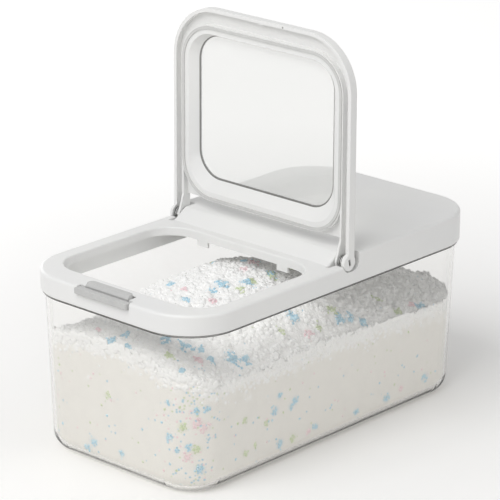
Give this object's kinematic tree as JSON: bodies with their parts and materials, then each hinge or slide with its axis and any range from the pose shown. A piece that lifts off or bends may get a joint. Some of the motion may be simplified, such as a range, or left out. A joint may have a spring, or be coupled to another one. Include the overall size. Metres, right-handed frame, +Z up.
{
  "type": "detergent dispenser",
  "caption": "Clear powder bin under a white lid with a flip-up windowed hatch over the scooping mouth, side hinges and a front press latch.",
  "frame": {"origin": "on the floor under the centre of the lid", "axes": "+X to the right, the front is at -Y, +Z up"},
  "size_m": [0.2, 0.369, 0.3507],
  "materials": {
    "clear_plastic": "clear, polished, faintly warm at the thick edges",
    "powder": "loose white powder with pale blue, pink and green grains",
    "white_plastic": "satin moulded white",
    "window_plastic": "clear, polished sheet",
    "seal_rubber": "soft pale grey",
    "grey_plastic": "matt light grey",
    "steel": "turned, bright"
  },
  "bodies": {
    "base": {"bin": "clear_plastic", "detergent_fill": "powder"},
    "lid_body": {"lid": "white_plastic", "lid_seal": "seal_rubber", "hinge_barrel_left": "steel", "hinge_barrel_right": "steel", "latch_spring": "steel", "latch_cover": "white_plastic"},
    "hatch_body": {"hatch_frame": "white_plastic", "hatch_window": "window_plastic", "hatch_seal": "seal_rubber", "hinge_pin_left": "steel", "hinge_pin_right": "steel"},
    "latch_body": {"latch_button": "grey_plastic", "latch_catch": "grey_plastic"}
  },
  "joints": [
    {"name": "lid_lift", "type": "slide", "parent": "base", "child": "lid_body", "axis": [0, 0, 1], "range_m": [0, 0.03]},
    {"name": "hatch_hinge", "type": "hinge", "parent": "lid_body", "child": "hatch_body", "pos_m": [0, 0.0065, 0.1615], "axis": [1, 0, 0], "range_deg": [0, 90]},
    {"name": "latch_press", "type": "slide", "parent": "lid_body", "child": "latch_body", "axis": [0, 1, 0], "range_m": [0, 0.0014], "stiffness_N_per_m": 900, "springref_m": -0.0006, "deforming": ["latch_spring"]}
  ]
}
